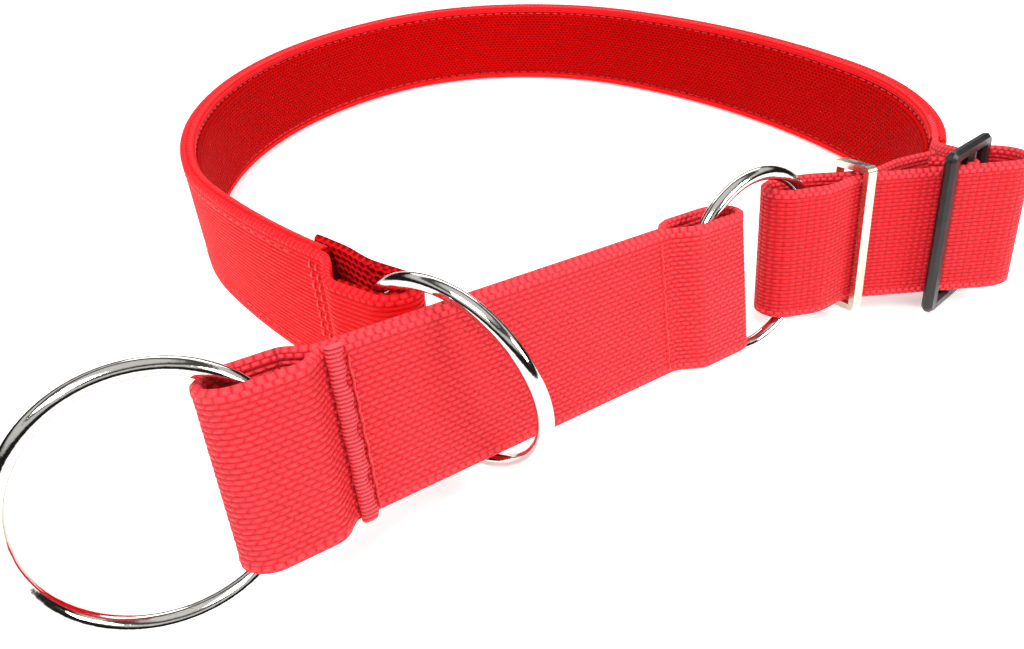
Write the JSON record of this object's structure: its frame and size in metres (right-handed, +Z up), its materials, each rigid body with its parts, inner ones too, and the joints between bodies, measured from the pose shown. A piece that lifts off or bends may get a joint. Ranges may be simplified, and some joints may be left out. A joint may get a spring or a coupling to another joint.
{
  "type": "limited-slip dog training collar",
  "caption": "Padded webbing neck band with a doubled pull strap that slips through a ring, plus steel rings, a tri-glide slider and a strap keeper, lying open on its edges.",
  "frame": {"origin": "middle of the neck opening, at the level the collar stands on", "axes": "+Z up, along the width of the webbing; +Y towards the back of the neck; the ends meet towards -Y"},
  "size_m": [0.1728, 0.2285, 0.0396],
  "materials": {
    "band_webbing": "woven nylon, soft sheen",
    "adjuster_webbing": "cross-ribbed woven nylon",
    "strap_webbing": "coarse woven nylon",
    "foam": "open-cell foam",
    "lining": "air-mesh knit",
    "thread": "bonded polyester thread",
    "slider_paint": "satin black",
    "nickel": "polished nickel plate"
  },
  "bodies": {
    "right_arm": {"right_outer_webbing": "band_webbing", "right_foam_core": "foam", "right_mesh_lining": "lining", "right_edge_stitching": "thread", "adjuster_webbing": "adjuster_webbing", "adjuster_join_stitching": "thread"},
    "left_arm": {"left_outer_webbing": "band_webbing", "left_foam_core": "foam", "left_mesh_lining": "lining", "left_edge_stitching": "thread", "ring_loop_lining": "lining", "ring_loop_seam_stitching": "thread"},
    "slide_ring": {"slide_ring": "nickel"},
    "end_ring": {"end_ring": "nickel"},
    "pull_strap": {"pull_strap": "strap_webbing", "pull_strap_cut_end": "strap_webbing", "pull_strap_left_seam": "thread", "pull_strap_right_seam": "thread"},
    "leash_ring": {"leash_ring": "nickel"},
    "slider": {"tri_glide_slider": "slider_paint", "adjuster_return_end": "adjuster_webbing", "return_end_stitching": "thread"},
    "keeper": {"strap_keeper": "nickel"}
  },
  "joints": [
    {"name": "cinch", "type": "hinge", "parent": "right_arm", "child": "left_arm", "pos_m": [-0.0637, 0.0537, 0.0123], "axis": [0, 0, 1], "range_deg": [-2.5, 5]},
    {"name": "slide_ring_swing", "type": "hinge", "parent": "left_arm", "child": "slide_ring", "pos_m": [-0.02725, -0.1039, 0.01945], "axis": [0, 0, 1], "range_deg": [-0.5, 1]},
    {"name": "end_ring_swing", "type": "hinge", "parent": "right_arm", "child": "end_ring", "pos_m": [0.04288, -0.07382, 0.01599], "axis": [-0.0445, 0.1482, 0.988], "range_deg": [-1.2, 2.3]},
    {"name": "strap_swing", "type": "hinge", "parent": "end_ring", "child": "pull_strap", "pos_m": [0.02567, -0.08589, 0.01662], "axis": [-0.088, 0.2542, 0.9631], "range_deg": [-1.55, 3.05]},
    {"name": "leash_ring_swing", "type": "hinge", "parent": "pull_strap", "child": "leash_ring", "pos_m": [-0.03878, -0.13085, 0.02259], "axis": [-0.088, 0.2542, 0.9631], "range_deg": [-12, 28]},
    {"name": "slider_slide", "type": "slide", "parent": "right_arm", "child": "slider", "axis": [0.999, 0, 0.045], "range_m": [-0.004, 0.002]},
    {"name": "keeper_slide", "type": "slide", "parent": "right_arm", "child": "keeper", "axis": [0.999, 0, 0.045], "range_m": [-0.0005, 0.0035]}
  ],
  "couplings": [
    {"joint": "slide_ring_swing", "follows": "cinch", "ratio": 0.2},
    {"joint": "end_ring_swing", "follows": "cinch", "ratio": 0.45},
    {"joint": "strap_swing", "follows": "cinch", "ratio": 0.6}
  ]
}
